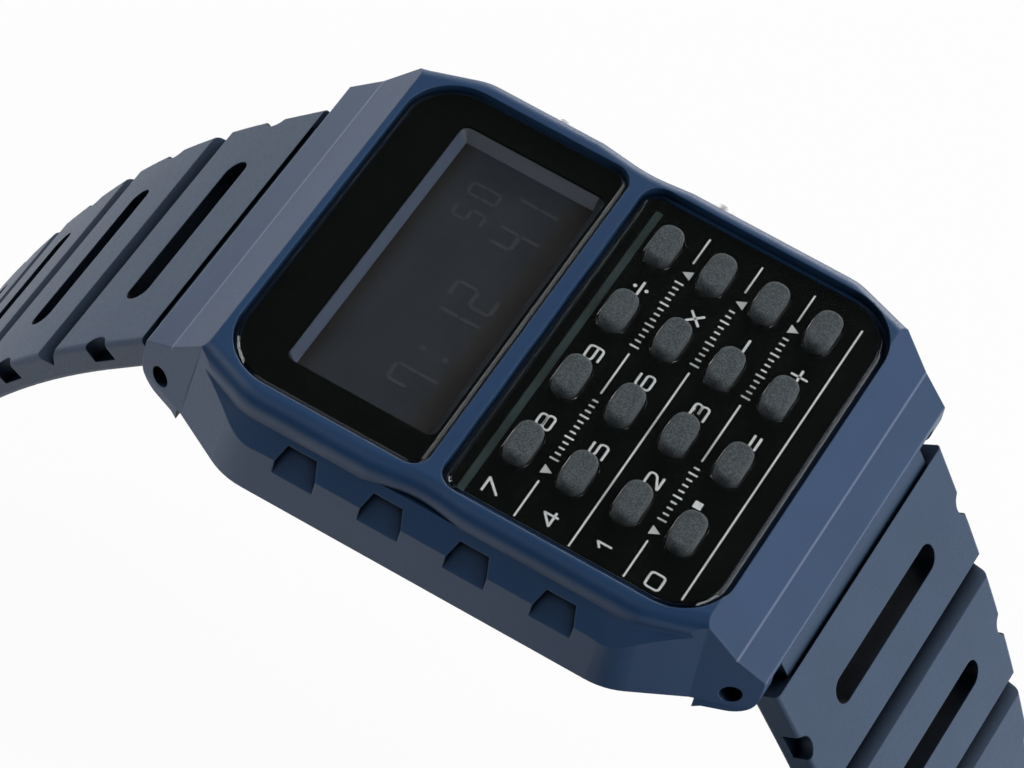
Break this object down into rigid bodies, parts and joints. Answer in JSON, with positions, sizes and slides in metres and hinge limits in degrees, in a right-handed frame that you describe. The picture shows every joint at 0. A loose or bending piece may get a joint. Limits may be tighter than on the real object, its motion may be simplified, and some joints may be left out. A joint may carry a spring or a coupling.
{
  "type": "calculator watch",
  "caption": "Resin calculator wristwatch with a display window, rubber keypad, side pushers, slotted straps and a steel buckle, standing on its straps.",
  "frame": {"origin": "centre of the case back's outer face", "axes": "+X to 3 o'clock (the pusher side), +Y to 12 o'clock (the buckle strap), +Z out of the dial"},
  "size_m": [0.034, 0.1037, 0.0633],
  "materials": {
    "case_resin": "satin",
    "strap_resin": "satin",
    "steel": "brushed",
    "buckle_steel": "satin",
    "clear": "polished, clear",
    "black_print": "printed black",
    "bevel_grey": "satin",
    "lcd": "satin",
    "key_rubber": "matte, grained",
    "module_plastic": "moulded",
    "board": "solder mask",
    "glob": "epoxy",
    "membrane": "matte",
    "gasket": "matte",
    "zebra": "matte",
    "piezo": "plain"
  },
  "bodies": {
    "watch_case": {"case": "case_resin", "case_back": "steel", "case_back_screws": "steel", "back_gasket": "gasket", "display_crystal": "clear", "display_mask": "black_print", "display_frame": "bevel_grey", "lcd_panel": "lcd", "lcd_connectors": "zebra", "module_frame": "module_plastic", "circuit_board": "board", "ic_glob": "glob", "quartz_can": "steel", "battery": "steel", "battery_clip": "steel", "buzzer": "piezo", "keypad_panel": "black_print", "keypad_cover": "clear", "key_membrane": "membrane", "spring_bar_upper": "steel", "spring_bar_lower": "steel"},
    "upper_strap": {"strap_upper": "strap_resin", "buckle_bar": "steel"},
    "lower_strap": {"strap_lower": "strap_resin"},
    "strap_keeper": {"keeper": "strap_resin"},
    "buckle": {"buckle_frame": "buckle_steel"},
    "prong": {"buckle_prong": "buckle_steel"},
    "upper_pusher": {"pusher_upper": "steel", "pusher_clip_upper": "steel"},
    "lower_pusher": {"pusher_lower": "steel", "pusher_clip_lower": "steel"},
    "key_seven_body": {"key_seven": "key_rubber"},
    "key_eight_body": {"key_eight": "key_rubber"},
    "key_nine_body": {"key_nine": "key_rubber"},
    "key_divide_body": {"key_divide": "key_rubber"},
    "key_four_body": {"key_four": "key_rubber"},
    "key_five_body": {"key_five": "key_rubber"},
    "key_six_body": {"key_six": "key_rubber"},
    "key_times_body": {"key_times": "key_rubber"},
    "key_one_body": {"key_one": "key_rubber"},
    "key_two_body": {"key_two": "key_rubber"},
    "key_three_body": {"key_three": "key_rubber"},
    "key_minus_body": {"key_minus": "key_rubber"},
    "key_zero_body": {"key_zero": "key_rubber"},
    "key_point_body": {"key_point": "key_rubber"},
    "key_equals_body": {"key_equals": "key_rubber"},
    "key_plus_body": {"key_plus": "key_rubber"}
  },
  "joints": [
    {"name": "key_seven_press", "type": "slide", "parent": "watch_case", "child": "key_seven_body", "axis": [0, 0, -1], "range_m": [0, 0.0004], "stiffness_N_per_m": 400, "springref_m": -0.001},
    {"name": "key_eight_press", "type": "slide", "parent": "watch_case", "child": "key_eight_body", "axis": [0, 0, -1], "range_m": [0, 0.0004], "stiffness_N_per_m": 400, "springref_m": -0.001},
    {"name": "key_nine_press", "type": "slide", "parent": "watch_case", "child": "key_nine_body", "axis": [0, 0, -1], "range_m": [0, 0.0004], "stiffness_N_per_m": 400, "springref_m": -0.001},
    {"name": "key_divide_press", "type": "slide", "parent": "watch_case", "child": "key_divide_body", "axis": [0, 0, -1], "range_m": [0, 0.0004], "stiffness_N_per_m": 400, "springref_m": -0.001},
    {"name": "key_four_press", "type": "slide", "parent": "watch_case", "child": "key_four_body", "axis": [0, 0, -1], "range_m": [0, 0.0004], "stiffness_N_per_m": 400, "springref_m": -0.001},
    {"name": "key_five_press", "type": "slide", "parent": "watch_case", "child": "key_five_body", "axis": [0, 0, -1], "range_m": [0, 0.0004], "stiffness_N_per_m": 400, "springref_m": -0.001},
    {"name": "key_six_press", "type": "slide", "parent": "watch_case", "child": "key_six_body", "axis": [0, 0, -1], "range_m": [0, 0.0004], "stiffness_N_per_m": 400, "springref_m": -0.001},
    {"name": "key_times_press", "type": "slide", "parent": "watch_case", "child": "key_times_body", "axis": [0, 0, -1], "range_m": [0, 0.0004], "stiffness_N_per_m": 400, "springref_m": -0.001},
    {"name": "key_one_press", "type": "slide", "parent": "watch_case", "child": "key_one_body", "axis": [0, 0, -1], "range_m": [0, 0.0004], "stiffness_N_per_m": 400, "springref_m": -0.001},
    {"name": "key_two_press", "type": "slide", "parent": "watch_case", "child": "key_two_body", "axis": [0, 0, -1], "range_m": [0, 0.0004], "stiffness_N_per_m": 400, "springref_m": -0.001},
    {"name": "key_three_press", "type": "slide", "parent": "watch_case", "child": "key_three_body", "axis": [0, 0, -1], "range_m": [0, 0.0004], "stiffness_N_per_m": 400, "springref_m": -0.001},
    {"name": "key_minus_press", "type": "slide", "parent": "watch_case", "child": "key_minus_body", "axis": [0, 0, -1], "range_m": [0, 0.0004], "stiffness_N_per_m": 400, "springref_m": -0.001},
    {"name": "key_zero_press", "type": "slide", "parent": "watch_case", "child": "key_zero_body", "axis": [0, 0, -1], "range_m": [0, 0.0004], "stiffness_N_per_m": 400, "springref_m": -0.001},
    {"name": "key_point_press", "type": "slide", "parent": "watch_case", "child": "key_point_body", "axis": [0, 0, -1], "range_m": [0, 0.0004], "stiffness_N_per_m": 400, "springref_m": -0.001},
    {"name": "key_equals_press", "type": "slide", "parent": "watch_case", "child": "key_equals_body", "axis": [0, 0, -1], "range_m": [0, 0.0004], "stiffness_N_per_m": 400, "springref_m": -0.001},
    {"name": "key_plus_press", "type": "slide", "parent": "watch_case", "child": "key_plus_body", "axis": [0, 0, -1], "range_m": [0, 0.0004], "stiffness_N_per_m": 400, "springref_m": -0.001},
    {"name": "upper_pusher_press", "type": "slide", "parent": "watch_case", "child": "upper_pusher", "axis": [-1, 0, 0], "range_m": [0, 0.0006], "stiffness_N_per_m": 500, "springref_m": -0.001},
    {"name": "lower_pusher_press", "type": "slide", "parent": "watch_case", "child": "lower_pusher", "axis": [-1, 0, 0], "range_m": [0, 0.0006], "stiffness_N_per_m": 500, "springref_m": -0.001},
    {"name": "upper_strap_hinge", "type": "hinge", "parent": "watch_case", "child": "upper_strap", "pos_m": [0, 0.01995, 0.00245], "axis": [-1, 0, 0], "range_deg": [0, 20]},
    {"name": "lower_strap_hinge", "type": "hinge", "parent": "watch_case", "child": "lower_strap", "pos_m": [0, -0.01995, 0.00245], "axis": [1, 0, 0], "range_deg": [0, 20]},
    {"name": "keeper_slide", "type": "slide", "parent": "upper_strap", "child": "strap_keeper", "axis": [0, -0.3022, 0.9533], "range_m": [0, 0.006]},
    {"name": "buckle_hinge", "type": "hinge", "parent": "upper_strap", "child": "buckle", "pos_m": [0, 0.04749, -0.0528], "axis": [-1, 0, 0], "range_deg": [0, 150]},
    {"name": "prong_hinge", "type": "hinge", "parent": "buckle", "child": "prong", "pos_m": [0, 0.04749, -0.0528], "axis": [1, 0, 0], "range_deg": [0, 45]}
  ]
}
